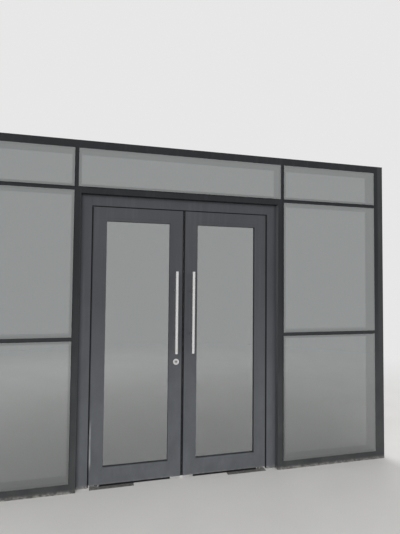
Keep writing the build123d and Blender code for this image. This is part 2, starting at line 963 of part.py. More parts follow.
with BuildPart() as lock_rings:
    with BuildSketch(Plane(origin=(-lock_x, leaf_front, lock_height), z_dir=(0, -1, 0))):
        Circle(lock_ring_radius)
        Circle(cylinder_radius + hole_clearance, mode=Mode.SUBTRACT)
    extrude(amount=lock_ring_height)
    mirror(about=Plane.XZ.offset(-door_middle_y))
finish(lock_rings, "lock_rings")

cylinder_front = leaf_front - cylinder_projection
cylinder_back = leaf_back + cylinder_projection
plug_front = cylinder_front - plug_projection

with BuildPart() as lock_cylinder:
    cylinder_length = leaf_thickness + 2 * cylinder_projection
    add(rod((-lock_x, cylinder_front, lock_height), (0, 1, 0), cylinder_radius, cylinder_length))
    plug_bore = rod(
        (-lock_x, cylinder_front, lock_height),
        (0, 1, 0),
        plug_radius + running_clearance,
        plug_length,
    )
    add(plug_bore, mode=Mode.SUBTRACT)
    stem_bore = rod(
        (-lock_x, cylinder_back, lock_height),
        (0, -1, 0),
        turn_stem_radius + running_clearance,
        turn_stem_depth,
    )
    add(stem_bore, mode=Mode.SUBTRACT)
finish(lock_cylinder, "lock_cylinder")

with BuildPart() as key_plug:
    plug_body_length = plug_projection + plug_length - running_clearance
    add(rod((-lock_x, plug_front, lock_height), (0, 1, 0), plug_radius, plug_body_length))
    key_slot = block(
        -lock_x - key_slot_width / 2,
        -lock_x + key_slot_width / 2,
        plug_front,
        plug_front + key_slot_depth,
        lock_height - key_slot_height / 2,
        lock_height + key_slot_height / 2,
    )
    add(key_slot, mode=Mode.SUBTRACT)
finish(key_plug, "key_plug")

with BuildPart() as thumb_turn:
    knob_base = cylinder_back + turn_knob_gap
    stem_length = turn_knob_gap + turn_stem_depth - running_clearance
    knob_plane = Plane(
        origin=(-lock_x, knob_base, lock_height), x_dir=(0, 0, 1), z_dir=(0, 1, 0)
    )
    with BuildSketch(knob_plane) as knob_outline:
        Rectangle(turn_knob_length, turn_knob_width)
        chamfer(knob_outline.vertices(), turn_knob_corner)
    extrude(amount=turn_knob_height)
    add(rod((-lock_x, knob_base, lock_height), (0, -1, 0), turn_stem_radius, stem_length))
finish(thumb_turn, "thumb_turn")

# Strike, in the right leaf
with BuildPart() as strike_plate:
    plate_back = leaf_inner + leaf_wall
    add(
        block(
            leaf_inner,
            plate_back,
            edge_plate_y - edge_plate_width / 2,
            edge_plate_y + edge_plate_width / 2,
            bolt_middle - strike_plate_height / 2,
            bolt_middle + strike_plate_height / 2,
        )
    )
    pocket_side = bolt_width / 2 + strike_clearance
    pocket_end = bolt_height / 2 + strike_clearance
    add(
        block(
            plate_back,
            plate_back + strike_box_depth,
            edge_plate_y - pocket_side - strike_box_wall,
            edge_plate_y + pocket_side + strike_box_wall,
            bolt_middle - pocket_end - strike_box_wall,
            bolt_middle + pocket_end + strike_box_wall,
        )
    )
    pocket = block(
        leaf_inner,
        plate_back + strike_box_depth - strike_box_wall,
        edge_plate_y - pocket_side,
        edge_plate_y + pocket_side,
        bolt_middle - pocket_end,
        bolt_middle + pocket_end,
    )
    add(pocket, mode=Mode.SUBTRACT)
finish(strike_plate, "strike_plate")

# Flush bolts, in the right leaf
leaf_middle_height = (leaf_bottom + leaf_top) / 2
tab_middle = low_flush_plate_middle + flush_travel / 2

with BuildPart() as flush_bolt_plates:
    plate_foot = low_flush_plate_middle - flush_plate_height / 2
    add(
        block(
            leaf_inner,
            leaf_inner + leaf_wall,
            edge_plate_y - edge_plate_width / 2,
            edge_plate_y + edge_plate_width / 2,
            plate_foot,
            plate_foot + flush_plate_height,
        )
    )
    add(
        block(
            leaf_inner + leaf_wall,
            flush_bar_x + flush_bar_width / 2 + flush_guide_wall,
            edge_plate_y - flush_guide_width / 2,
            edge_plate_y + flush_guide_width / 2,
            plate_foot,
            plate_foot + flush_guide_height,
        )
    )
    with BuildSketch(Plane(origin=(flush_bar_x, edge_plate_y, plate_foot))):
        Rectangle(flush_bar_width + 2 * hole_clearance, flush_bar_width + 2 * hole_clearance)
    extrude(amount=flush_guide_height, mode=Mode.SUBTRACT)
    tab_reach = (flush_tab_height + flush_travel) / 2 + inner_clearance
    tab_slot = block(
        leaf_inner,
        leaf_inner + leaf_wall,
        edge_plate_y - flush_tab_width / 2 - inner_clearance,
        edge_plate_y + flush_tab_width / 2 + inner_clearance,
        low_flush_plate_middle - tab_reach,
        low_flush_plate_middle + tab_reach,
    )
    add(tab_slot, mode=Mode.SUBTRACT)
    mirror(about=Plane.XY.offset(leaf_middle_height))
finish(flush_bolt_plates, "flush_bolt_plates")

with BuildPart() as bottom_flush_bolt:
    bar_foot = leaf_bottom + flush_bar_recess
    bar_top = tab_middle + flush_tab_height / 2
    with BuildSketch(Plane(origin=(flush_bar_x, edge_plate_y, bar_foot))):
        Rectangle(flush_bar_width, flush_bar_width)
    extrude(amount=bar_top - bar_foot)
    add(
        block(
            leaf_inner + flush_tab_recess,
            flush_bar_x,
            edge_plate_y - flush_tab_width / 2,
            edge_plate_y + flush_tab_width / 2,
            tab_middle - flush_tab_height / 2,
            tab_middle + flush_tab_height / 2,
        )
    )
finish(bottom_flush_bolt, "bottom_flush_bolt")

with BuildPart() as top_flush_bolt:
    mirror(bottom_flush_bolt.part, about=Plane.XY.offset(leaf_middle_height))
finish(top_flush_bolt, "top_flush_bolt")
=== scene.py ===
import json
import math

import bmesh
import bpy
from mathutils import Matrix, Vector

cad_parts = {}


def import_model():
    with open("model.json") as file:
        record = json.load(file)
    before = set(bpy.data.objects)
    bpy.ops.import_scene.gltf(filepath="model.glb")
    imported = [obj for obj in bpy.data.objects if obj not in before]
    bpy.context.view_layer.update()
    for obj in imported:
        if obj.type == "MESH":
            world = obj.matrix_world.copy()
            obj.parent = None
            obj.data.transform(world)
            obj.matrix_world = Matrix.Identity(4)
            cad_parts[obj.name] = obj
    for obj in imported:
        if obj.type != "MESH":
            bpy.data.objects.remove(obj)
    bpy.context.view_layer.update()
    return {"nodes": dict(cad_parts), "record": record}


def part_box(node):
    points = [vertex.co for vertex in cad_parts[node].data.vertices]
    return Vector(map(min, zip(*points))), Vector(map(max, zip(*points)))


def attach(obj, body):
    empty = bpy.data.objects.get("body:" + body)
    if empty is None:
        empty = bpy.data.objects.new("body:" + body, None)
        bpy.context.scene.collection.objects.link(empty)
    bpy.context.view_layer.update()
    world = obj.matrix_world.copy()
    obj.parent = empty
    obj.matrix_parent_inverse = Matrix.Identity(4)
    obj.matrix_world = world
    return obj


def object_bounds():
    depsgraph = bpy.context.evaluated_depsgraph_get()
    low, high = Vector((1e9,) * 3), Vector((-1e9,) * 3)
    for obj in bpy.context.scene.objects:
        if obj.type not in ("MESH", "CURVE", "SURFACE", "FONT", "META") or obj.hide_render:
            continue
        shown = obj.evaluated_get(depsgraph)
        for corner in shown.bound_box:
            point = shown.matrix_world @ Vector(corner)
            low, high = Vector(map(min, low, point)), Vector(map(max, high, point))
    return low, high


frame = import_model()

# Sizes are in metres, in the frame of the solids: x = 0 midway between the leaves,
# y = 0 the outer face of the fixed glass, +y into the building, z = 0 the floor.

# The camera, as solved on the photograph's straight edges
photo_height = 534
focal_px = 400
sensor_long_side = 36
nearest_seen = 0.05
furthest_seen = 200
eye = Vector((-0.681, -3.203, 1.597))
yaw = math.radians(14.11)
pitch = math.radians(2.22)
roll = math.radians(0.53)

# The studio
floor_half_width = 60
floor_tone = (0.77, 0.76, 0.745)
floor_roughness = 0.55
fade_from = 2.4
fade_to = 7.2
backdrop_tone = (0.80, 0.80, 0.80)
world_light = 0.45
lamp_size = 5.0

# Dirt and painted light on the coatings
dust_and_light_height = 1.9
crust_height = 0.035
plaster_tone = (0.30, 0.29, 0.27)
# Painted light: a lighter tone for the sides beside the doorway, for the light that falls on them
painted_reveal_light = (0.098, 0.102, 0.110)
reveal_reach = 0.0005
film_tone = (0.036, 0.038, 0.038)
film_width = 0.055
film_fade = 0.008
# Painted highlight: a pale stretch low down on the left leaf's nose
nose_highlight_tone = (0.26, 0.27, 0.27)
highlight_width = 0.012
highlight_fade_across = 0.006
highlight_edge = 0.003
highlight_low = 0.12
highlight_high = 0.52
highlight_fade = 0.08

# Tones of the coatings, each clean, and lighter low down with dust and painted light. The screen's
# clean tone is its dark coating, darkened further with painted shade.
screen_tone = (0.013, 0.014, 0.016)
screen_dust_light_tone = (0.050, 0.052, 0.053)
door_tone = (0.044, 0.046, 0.051)
door_dust_light_tone = (0.098, 0.104, 0.115)

# Plate steel: dull with dirt up to the first height, and clean from the second one up
in_floor_below = 0.002
out_of_floor_above = 0.004
cover_dirt_tone = (0.135, 0.133, 0.124)

# Glass. The index is far above plain glass, and stands for a mirroring solar coat.
mirror_index = 3.2
mirror_tint = (0.965, 1.0, 1.0)
ground_edge_tone = (0.60, 0.66, 0.63)
shadow_share = 0.9

# Rounding of worked edges
tube_edge = 0.0004
bead_edge = 0.0008
plate_edge = 0.0004
turned_edge = 0.0010
turned_steps = 3
screw_edge = 0.00012
sharp_angle = math.radians(28)
weld_distance = 0.00001

# Small screws
cover_screw_radius = 0.0045
plate_screw_radius = 0.0036
grub_screw_radius = 0.0024
cleat_screw_radius = 0.0040
flush_screw_proud = 0.0002
grub_screw_proud = 0.0001
cleat_screw_proud = 0.0003
cover_length = 0.340
cover_screw_inset = 0.012
flush_plate_height = 0.160
plate_screw_inset = 0.012
keeper_screw_inset = 0.007
grub_from_leaf = 0.012
post_radius = 0.008
post_reach = 0.176
cleat_screw_from_end = 0.025
cleat_screw_spread = 0.025

# Screw heads: corners round a head, and shares of its radius
head_corners = 36
head_sunk_share = 0.20
recess_depth_share = 0.5
cross_arm_reach = 0.58
cross_arm_half_width = 0.12
cross_core_reach = 0.16
hex_corner_reach = 0.52

# The least sine to divide by, along the middle of a recess's arm
smallest_sine = 0.01

nodes = frame["nodes"]


def camera():
    """Stands the camera where the photograph was taken from."""
    level = math.cos(pitch)
    forward = Vector((math.sin(yaw) * level, math.cos(yaw) * level, math.sin(pitch)))
    level_right = Vector((math.cos(yaw), -math.sin(yaw), 0))
    level_up = level_right.cross(forward)
    right = math.cos(roll) * level_right + math.sin(roll) * level_up
    up = -math.sin(roll) * level_right + math.cos(roll) * level_up
    data = bpy.data.cameras.new("camera")
    data.sensor_width = sensor_long_side
    data.lens = focal_px * sensor_long_side / photo_height
    data.clip_start = nearest_seen
    data.clip_end = furthest_seen
    obj = bpy.data.objects.new("camera", data)
    turn = Matrix((right, up, -forward)).transposed()
    obj.matrix_world = Matrix.Translation(eye) @ turn.to_4x4()
    bpy.context.scene.collection.objects.link(obj)
    bpy.context.scene.camera = obj


def area_light(name, place, target, watts):
    """A soft square lamp that faces its target. Glass and metal mirror the surround instead."""
    data = bpy.data.lights.new(name, "AREA")
    data.shape = "SQUARE"
    data.size = lamp_size
    data.energy = watts
    obj = bpy.data.objects.new(name, data)
    obj.location = place
    obj.rotation_mode = "QUATERNION"
    obj.rotation_quaternion = (Vector(target) - Vector(place)).to_track_quat("-Z", "Y")
    obj.visible_glossy = False
    obj.visible_transmission = False
    bpy.context.scene.collection.objects.link(obj)


def world():
    """An even pale surround: its tone where it is seen, a softer level where it lights."""
    made = bpy.data.worlds.new("studio")
    made.use_nodes = True
    tree = made.node_tree
    tree.nodes.clear()
    out = tree.nodes.new("ShaderNodeOutputWorld")
    path = tree.nodes.new("ShaderNodeLightPath")
    seen = tree.nodes.new("ShaderNodeBackground")
    seen.inputs["Color"].default_value = (*backdrop_tone, 1)
    seen.inputs["Strength"].default_value = 1
    light = tree.nodes.new("ShaderNodeBackground")
    light.inputs["Color"].default_value = (1, 1, 1, 1)
    light.inputs["Strength"].default_value = world_light
    mix = tree.nodes.new("ShaderNodeMixShader")
    camera_or_glossy = tree.nodes.new("ShaderNodeMath")
    camera_or_glossy.operation = "MAXIMUM"
    any_seen = tree.nodes.new("ShaderNodeMath")
    any_seen.operation = "MAXIMUM"
    link = tree.links.new
    link(path.outputs["Is Camera Ray"], camera_or_glossy.inputs[0])
    link(path.outputs["Is Glossy Ray"], camera_or_glossy.inputs[1])
    link(camera_or_glossy.outputs[0], any_seen.inputs[0])
    link(path.outputs["Is Transmission Ray"], any_seen.inputs[1])
    link(any_seen.outputs[0], mix.inputs[0])
    link(light.outputs[0], mix.inputs[1])
    link(seen.outputs[0], mix.inputs[2])
    link(mix.outputs[0], out.inputs["Surface"])
    bpy.context.scene.world = made


class Finish:
    """A node material round one Principled shader, with short calls for its usual parts."""

    def __init__(self, name, colour, roughness, metallic=0.0, specular=0.5):
        self.material = bpy.data.materials.new(name)
        self.material.use_nodes = True
        self.tree = self.material.node_tree
        self.tree.nodes.clear()
        self.out = self.add("ShaderNodeOutputMaterial")
        self.shader = self.add("ShaderNodeBsdfPrincipled")
        self.shader.inputs["Base Color"].default_value = (*colour, 1)
        self.shader.inputs["Roughness"].default_value = roughness
        self.shader.inputs["Metallic"].default_value = metallic
        self.shader.inputs["Specular IOR Level"].default_value = specular
        self.link(self.shader.outputs[0], self.out.inputs["Surface"])
        self.place = self.add("ShaderNodeTexCoord").outputs["Object"]

    def add(self, kind, **settings):
        node = self.tree.nodes.new(kind)
        for key, value in settings.items():
            setattr(node, key, value)
        return node

    def link(self, source, socket):
        self.tree.links.new(source, socket)

    def noise(self, scale, detail=3.0, roughness=0.5, stretch=(1, 1, 1)):
        """Noise over the object's own coordinates; a stretch under 1 draws it out along that axis."""
        mapping = self.add("ShaderNodeMapping")
        mapping.inputs["Scale"].default_value = stretch
        self.link(self.place, mapping.inputs["Vector"])
        node = self.add("ShaderNodeTexNoise")
        node.inputs["Scale"].default_value = scale
        node.inputs["Detail"].default_value = detail
        node.inputs["Roughness"].default_value = roughness
        self.link(mapping.outputs[0], node.inputs["Vector"])
        return node.outputs["Fac"]

    def ramp(self, source, low, high, low_at=0.3, high_at=0.7):
        """Turns a 0 to 1 value into a colour between two tones."""
        node = self.add("ShaderNodeValToRGB")
        node.color_ramp.elements[0].position = low_at
        node.color_ramp.elements[0].color = (*low, 1)
        node.color_ramp.elements[1].position = high_at
        node.color_ramp.elements[1].color = (*high, 1)
        self.link(source, node.inputs["Fac"])
        return node.outputs["Color"]

    def span(self, source, low, high, from_low=0.0, from_high=1.0, smooth=False):
        """Maps one stretch of values onto another."""
        node = self.add("ShaderNodeMapRange")
        if smooth:
            node.interpolation_type = "SMOOTHSTEP"
        node.inputs["From Min"].default_value = from_low
        node.inputs["From Max"].default_value = from_high
        node.inputs["To Min"].default_value = low
        node.inputs["To Max"].default_value = high
        self.link(source, node.inputs["Value"])
        return node.outputs["Result"]

    def rising(self, source, start, end):
        """0 up to the start, 1 from the end on."""
        return self.span(source, low=0.0, high=1.0, from_low=start, from_high=end)

    def falling(self, source, start, end):
        """1 up to the start, 0 from the end on."""
        return self.span(source, low=1.0, high=0.0, from_low=start, from_high=end)

    def mixed(self, share, first, second):
        """Two colours mixed by a share; each is a tone or a socket."""
        node = self.add("ShaderNodeMix", data_type="RGBA")
        sockets = (node.inputs[0], node.inputs[6], node.inputs[7])
        for socket, value in zip(sockets, (share, first, second)):
            if isinstance(value, tuple):
                socket.default_value = (*value, 1)
            else:
                self.link(value, socket)
        return node.outputs[2]

    def math(self, operation, first, second):
        node = self.add("ShaderNodeMath", operation=operation)
        self.link(first, node.inputs[0])
        self.link(second, node.inputs[1])
        return node.outputs[0]

    def product(self, first, *others):
        for other in others:
            first = self.math("MULTIPLY", first, other)
        return first

    def absolute(self, value):
        node = self.add("ShaderNodeMath", operation="ABSOLUTE")
        self.link(value, node.inputs[0])
        return node.outputs[0]

    def axis(self, letter):
        """One coordinate of the place, in metres."""
        node = self.add("ShaderNodeSeparateXYZ")
        self.link(self.place, node.inputs[0])
        return node.outputs[letter]

    def facing(self, letter):
        """How far the surface faces along one axis of the object, from 0 to 1."""
        coordinates = self.add("ShaderNodeTexCoord")
        node = self.add("ShaderNodeSeparateXYZ")
        self.link(coordinates.outputs["Normal"], node.inputs[0])
        return self.absolute(node.outputs[letter])

    def colour(self, source):
        self.link(source, self.shader.inputs["Base Color"])

    def roughness(self, source):
        self.link(source, self.shader.inputs["Roughness"])

    def bump(self, height, depth, strength=1.0):
        node = self.add("ShaderNodeBump")
        node.inputs["Strength"].default_value = strength
        node.inputs["Distance"].default_value = depth
        self.link(height, node.inputs["Height"])
        self.link(node.outputs["Normal"], self.shader.inputs["Normal"])


def scaled(tone, share):
    """A tone made darker or lighter, and white at most."""
    return tuple(min(c * share, 1.0) for c in tone)


def powder_coating(name, tone, dusty_and_lit_tone, roughness, specular, side_light_tone):
    """Satin powder coating: orange peel, a cloudy tone, rain streaks, and a lighter tone near the
    floor that is part dust, part painted light.

    Faces that look across the doorway from beside it take a lighter tone, painted light for the light
    that falls on these sides, and the outer edges of the screen have a pale film.
    """
    finish = Finish(name, tone, roughness, specular=specular)
    clouds = finish.noise(scale=2.2, detail=4)
    base = finish.ramp(clouds, low=scaled(tone, 0.92), high=scaled(tone, 1.10))

    doorway_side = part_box("door_jambs")[1].x + reveal_reach
    off_middle = finish.absolute(finish.axis("X"))
    beside_door = finish.falling(off_middle, doorway_side, doorway_side + reveal_reach)
    # Painted light: sideways faces beside the doorway take a lighter tone for the light on them
    sideways = finish.rising(finish.facing("X"), 0.6, 0.8)
    base = finish.mixed(finish.product(beside_door, sideways), base, side_light_tone)

    film_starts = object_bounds()[1][0] - film_width
    by_the_wall = finish.rising(off_middle, film_starts, film_starts + film_fade)
    film = finish.noise(scale=20, detail=4, roughness=0.6, stretch=(1, 1, 0.15))
    film = finish.span(film, low=0.35, high=0.85, from_low=0.3, from_high=0.7)
    higher_up = finish.rising(finish.axis("Z"), 0.0, dust_and_light_height)
    base = finish.mixed(finish.product(by_the_wall, film, higher_up), base, film_tone)

    streaks = finish.noise(scale=38, detail=4, roughness=0.6, stretch=(1, 1, 0.04))
    streaks = finish.span(streaks, low=0.0, high=0.16, from_low=0.52, from_high=0.75)
    streaked = finish.mixed(streaks, base, dusty_and_lit_tone)

    height = finish.axis("Z")
    # Lighter towards the floor: part dust, part painted light for the brighter light low down and the
    # shade higher up
    lighter_low_down = finish.span(height, low=0.9, high=0.0, from_high=dust_and_light_height, smooth=True)
    blotches = finish.noise(scale=9, detail=5, roughness=0.6, stretch=(1, 1, 0.5))
    blotches = finish.span(blotches, low=0.65, high=1.15, from_low=0.3, from_high=0.7)
    lightened_low = finish.mixed(finish.product(lighter_low_down, blotches), streaked, dusty_and_lit_tone)

    crust = finish.span(height, low=0.8, high=0.0, from_high=crust_height, smooth=True)
    crumbs = finish.noise(scale=55, detail=5, roughness=0.7)
    crumbs = finish.span(crumbs, low=0.1, high=1.0, from_low=0.42, from_high=0.6)
    crusted = finish.mixed(finish.product(crust, crumbs), lightened_low, plaster_tone)
    finish.colour(painted_nose_highlight(finish, crusted))

    grain = finish.noise(scale=700, detail=2, roughness=0.6)
    smoothest = roughness - 0.05
    roughest = roughness + 0.07
    finish.roughness(finish.span(grain, smoothest, roughest, from_low=0.3, from_high=0.7))
    finish.bump(grain, depth=0.00008, strength=0.6)
    return finish.material


def painted_nose_highlight(finish, coated):
    """A painted highlight: a pale stretch of the left leaf's nose, low down."""
    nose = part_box("left_hinge_stile")[0].x
    highlight_side = nose + highlight_width
    across = finish.falling(finish.axis("X"), highlight_side, highlight_side + highlight_fade_across)
    inside = finish.rising(finish.axis("X"), nose - highlight_edge, nose)
    foot = finish.rising(finish.axis("Z"), highlight_low, highlight_low + highlight_fade)
    top = finish.falling(finish.axis("Z"), highlight_high - highlight_fade, highlight_high)
    patchy = finish.noise(scale=30, detail=4, roughness=0.6, stretch=(1, 1, 0.25))
    patchy = finish.span(patchy, low=0.45, high=1.0, from_low=0.4, from_high=0.6)
    return finish.mixed(finish.product(across, inside, foot, top, patchy), coated, nose_highlight_tone)


def brushed_steel(name, tone, roughness, along=(1, 1, 1), depth=0.00002):
    """Brushed metal: fine drawn-out scratches, and soft clouds where hands have dulled it."""
    finish = Finish(name, tone, roughness, metallic=1.0)
    finish.shader.inputs["Anisotropic"].default_value = 0.4
    scratches = finish.noise(scale=900, detail=3, roughness=0.65, stretch=along)
    clouds = finish.noise(scale=14, detail=3)
    smoothest = roughness - 0.05
    roughest = roughness + 0.08
    finish.roughness(finish.span(clouds, smoothest, roughest, from_low=0.3, from_high=0.7))
    lines = finish.ramp(scratches, low=scaled(tone, 0.88), high=scaled(tone, 1.08))
    dulled = finish.span(clouds, low=0.0, high=0.5, from_low=0.45, from_high=0.75)
    finish.colour(finish.mixed(dulled, lines, scaled(tone, 0.80)))
    finish.bump(scratches, depth, strength=0.5)
    return finish.material


def trodden_steel(name, tone, dirt_tone, roughness):
    """Plate steel, bright above the floor, and dull with dirt where it lies in the floor."""
    clean_metallic = 0.85
    dirty_metallic = 0.1
    finish = Finish(name, tone, roughness, metallic=clean_metallic)
    scratches = finish.noise(scale=600, detail=3, roughness=0.65, stretch=(0.06, 1, 1))
    bright = finish.ramp(scratches, low=scaled(tone, 0.85), high=scaled(tone, 1.08))
    in_floor = finish.falling(finish.axis("Z"), in_floor_below, out_of_floor_above)
    patches = finish.noise(scale=45, detail=6, roughness=0.65)
    patches = finish.span(patches, low=0.6, high=1.0, from_low=0.35, from_high=0.6)
    dirt = finish.product(in_floor, patches)
    finish.colour(finish.mixed(dirt, bright, dirt_tone))
    metallic = finish.span(dirt, low=clean_metallic, high=dirty_metallic)
    finish.link(metallic, finish.shader.inputs["Metallic"])
    worn = finish.noise(scale=30, detail=5, roughness=0.6)
    smoothest = roughness - 0.06
    roughest = roughness + 0.2
    finish.roughness(finish.span(worn, smoothest, roughest, from_low=0.3, from_high=0.7))
    finish.bump(scratches, depth=0.00003, strength=0.5)
    return finish.material


def rubber(name, tone):
    """Black rubber with a faint bloom."""
    finish = Finish(name, tone, roughness=0.55, specular=0.4)
    clouds = finish.noise(scale=40, detail=4)
    finish.colour(finish.ramp(clouds, low=scaled(tone, 0.8), high=scaled(tone, 1.5)))
    finish.roughness(finish.span(clouds, low=0.48, high=0.65))
    finish.bump(finish.noise(scale=1500, detail=2), depth=0.00003, strength=0.4)
    return finish.material


def pile(name, tone):
    """Woven pile: short upright fibres in rows."""
    finish = Finish(name, tone, roughness=0.85, specular=0.2)
    fibres = finish.noise(scale=1800, detail=2, roughness=0.7, stretch=(1, 1, 0.35))
    finish.shader.inputs["Sheen Weight"].default_value = 0.08
    finish.colour(finish.ramp(fibres, low=scaled(tone, 0.5), high=scaled(tone, 1.7)))
    finish.bump(fibres, depth=0.0003, strength=0.8)
    return finish.material


def glass(name, tone):
    """Grey solar glass: a strong mirror over a dim view, whose dark tint is also painted shade for
    the dim room behind, with pale ground edges and some smears.
    """
    finish = Finish(name, tone, roughness=0.0)
    finish.shader.inputs["Transmission Weight"].default_value = 1.0
    finish.shader.inputs["IOR"].default_value = mirror_index
    finish.shader.inputs["Specular Tint"].default_value = (*mirror_tint, 1)
    on_edge = finish.falling(finish.facing("Y"), 0.3, 0.9)
    finish.colour(finish.mixed(on_edge, tone, ground_edge_tone))
    smears = finish.noise(scale=6, detail=4, roughness=0.6, stretch=(1, 1, 0.6))
    smears = finish.span(smears, low=0.0, high=0.015, from_low=0.55, from_high=0.8)
    ground = finish.span(on_edge, low=0.0, high=0.55)
    finish.roughness(finish.math("MAXIMUM", smears, ground))
    waves = finish.noise(scale=3, detail=1, roughness=0.3, stretch=(1, 1, 0.3))
    finish.bump(waves, depth=0.0004, strength=0.15)
    clear = finish.add("ShaderNodeBsdfTransparent")
    clear.inputs["Color"].default_value = (*scaled(tone, shadow_share), 1)
    path = finish.add("ShaderNodeLightPath")
    mix = finish.add("ShaderNodeMixShader")
    finish.link(path.outputs["Is Shadow Ray"], mix.inputs[0])
    finish.link(finish.shader.outputs[0], mix.inputs[1])
    finish.link(clear.outputs[0], mix.inputs[2])
    finish.link(mix.outputs[0], finish.out.inputs["Surface"])
    return finish.material


def cast_iron(name, tone):
    """Sand-cast iron under dark paint."""
    finish = Finish(name, tone, roughness=0.6)
    grain = finish.noise(scale=260, detail=4, roughness=0.6)
    finish.colour(finish.ramp(grain, low=scaled(tone, 0.8), high=scaled(tone, 1.3)))
    finish.bump(grain, depth=0.0004, strength=0.6)
    return finish.material


materials = {
    "screen_coating": powder_coating(
        "screen_coating",
        screen_tone,
        screen_dust_light_tone,
        roughness=0.45,
        specular=0.20,
        side_light_tone=painted_reveal_light,
    ),
    "door_coating": powder_coating(
        "door_coating",
        door_tone,
        door_dust_light_tone,
        roughness=0.42,
        specular=0.25,
        side_light_tone=door_tone,
    ),
    "mill_aluminium": brushed_steel("mill_aluminium", (0.62, 0.63, 0.64), 0.38, (1, 1, 0.05)),
    # Dark glass tints: grey solar glass, and painted shade for the dim room behind the panes
    "screen_glass": glass("screen_glass", (0.125, 0.132, 0.131)),
    "leaf_glass": glass("leaf_glass", (0.125, 0.131, 0.130)),
    "black_rubber": rubber("black_rubber", (0.010, 0.010, 0.011)),
    "black_pile": pile("black_pile", (0.008, 0.008, 0.009)),
    "fastener_steel": brushed_steel("fastener_steel", (0.55, 0.55, 0.56), 0.35),
    "pivot_steel": brushed_steel("pivot_steel", (0.45, 0.46, 0.47), 0.40, (1, 0.05, 1)),
    "cover_steel": trodden_steel("cover_steel", (0.50, 0.50, 0.49), cover_dirt_tone, 0.38),
    "closer_iron": cast_iron("closer_iron", (0.09, 0.09, 0.10)),
    "pull_steel": brushed_steel("pull_steel", (0.78, 0.78, 0.77), 0.25, (0.05, 0.05, 1)),
    "lock_chrome": brushed_steel("lock_chrome", (0.58, 0.58, 0.59), 0.28, (1, 1, 0.2)),
    "lock_brass": brushed_steel("lock_brass", (0.17, 0.15, 0.11), 0.35, (1, 1, 0.2)),
}


def dress_nodes():
    """Gives each CAD node the finish that the record names for it."""
    for subpart in frame["record"]["subparts"]:
        mesh = nodes[subpart["node"]].data
        finish = materials[subpart["material_slot"]]
        if mesh.materials:
            for index in range(len(mesh.materials)):
                mesh.materials[index] = finish
        else:
            mesh.materials.append(finish)


def soften(node, width, segments=2):
    """Rounds a node's sharp edges, once its faces are joined along their borders."""
    obj = nodes[node]
    weld = obj.modifiers.new("weld", "WELD")
    weld.merge_threshold = weld_distance
    bevel = obj.modifiers.new("edges", "BEVEL")
    bevel.width = width
    bevel.segments = segments
    bevel.limit_method = "ANGLE"
    bevel.angle_limit = sharp_angle
    obj.modifiers.new("shade", "WEIGHTED_NORMAL")


def soft_edges():
    """Rounds the edges of the pieces that show."""
    leaf_tubes = ("hinge_stile", "meeting_stile", "top_rail", "bottom_rail")
    tubes = ["outer_jambs", "mullions", "head", "door_transom", "sidelight_rails", "bottom_rails"]
    tubes += ["door_jambs", "door_head"]
    tubes += [f"{side}_{part}" for side in ("left", "right") for part in leaf_tubes]
    plates = ("floor_covers", "lock_case", "strike_plate", "flush_bolt_plates", "top_bolt_keeper")
    for node in tubes:
        soften(node, tube_edge)
    for node in ("left_beads", "right_beads", "left_gaskets", "right_gaskets"):
        soften(node, bead_edge)
    for node in plates:
        soften(node, plate_edge)
    for node in ("left_pulls", "right_pulls", "lock_rings", "lock_cylinder", "thumb_turn"):
        soften(node, turned_edge, turned_steps)


def piece(name, built, body, slot):
    """Makes an object of a built mesh, in a finish, riding on a body."""
    mesh = bpy.data.meshes.new(name)
    built.normal_update()
    built.to_mesh(mesh)
    built.free()
    mesh.materials.append(materials[slot])
    obj = bpy.data.objects.new(name, mesh)
    bpy.context.scene.collection.objects.link(obj)
    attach(obj, body)
    return obj


def cross_reach(angle):
    """How far a cross recess reaches at an angle, as a share of the head's radius."""
    quarter = math.pi / 2
    off_arm = min(angle % quarter, quarter - angle % quarter)
    to_arm_side = cross_arm_half_width / max(math.sin(off_arm), smallest_sine)
    return max(cross_core_reach, min(cross_arm_reach, to_arm_side))


def hex_reach(angle):
    """How far a hexagon recess reaches at an angle, as a share of the head's radius."""
    sixth = math.pi / 3
    return hex_corner_reach * math.cos(sixth / 2) / math.cos(angle % sixth - sixth / 2)


def screws(name, body, heads, radius, proud, recess_reach):
    """Screw heads in one object. Each has a place on a surface and the way that it faces."""
    # The rim's profile, as shares of the radius and heights over the surface
    rim = (
        (1.00, -head_sunk_share * radius),
        (1.00, 0.45 * proud),
        (0.92, 0.85 * proud),
        (0.78, proud),
    )
    recess_levels = (proud, proud - recess_depth_share * radius)
    angles = [2 * math.pi * k / head_corners for k in range(head_corners)]
    rings = [[(share, height) for angle in angles] for share, height in rim]
    rings += [[(recess_reach(angle), height) for angle in angles] for height in recess_levels]
    built = bmesh.new()
    for place, facing in heads:
        turn = Vector(facing).to_track_quat("Z", "Y")
        corners = []
        for ring in rings:
            row = []
            for angle, (share, height) in zip(angles, ring):
                reach = share * radius
                point = Vector((reach * math.cos(angle), reach * math.sin(angle), height))
                row.append(built.verts.new(Vector(place) + turn @ point))
            corners.append(row)
        for low, high in zip(corners, corners[1:]):
            for k in range(head_corners):
                after = (k + 1) % head_corners
                built.faces.new((low[k], low[after], high[after], high[k]))
        built.faces.new(corners[-1])
        built.faces.new(tuple(reversed(corners[0])))
    obj = piece(name, built, body, "fastener_steel")
    bevel = obj.modifiers.new("edges", "BEVEL")
    bevel.width = screw_edge
    bevel.segments = 1
    bevel.angle_limit = sharp_angle


def plate_screws(name, body, heads):
    """Cross-head screws of the size that holds the plates in the edges and the keeper."""
    screws(name, body, heads, plate_screw_radius, flush_screw_proud, cross_reach)


def cover_screws():
    """Four screws in the corners of each cover plate in the floor."""
    low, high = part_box("floor_covers")
    heads = []
    for side in (-1, 1):
        for x in (high.x - cover_screw_inset, high.x - cover_length + cover_screw_inset):
            for y in (low.y + cover_screw_inset, high.y - cover_screw_inset):
                heads.append(((side * x, y, high.z), (0, 0, 1)))
    screws("cover_screws", "screen", heads, cover_screw_radius, flush_screw_proud, cross_reach)


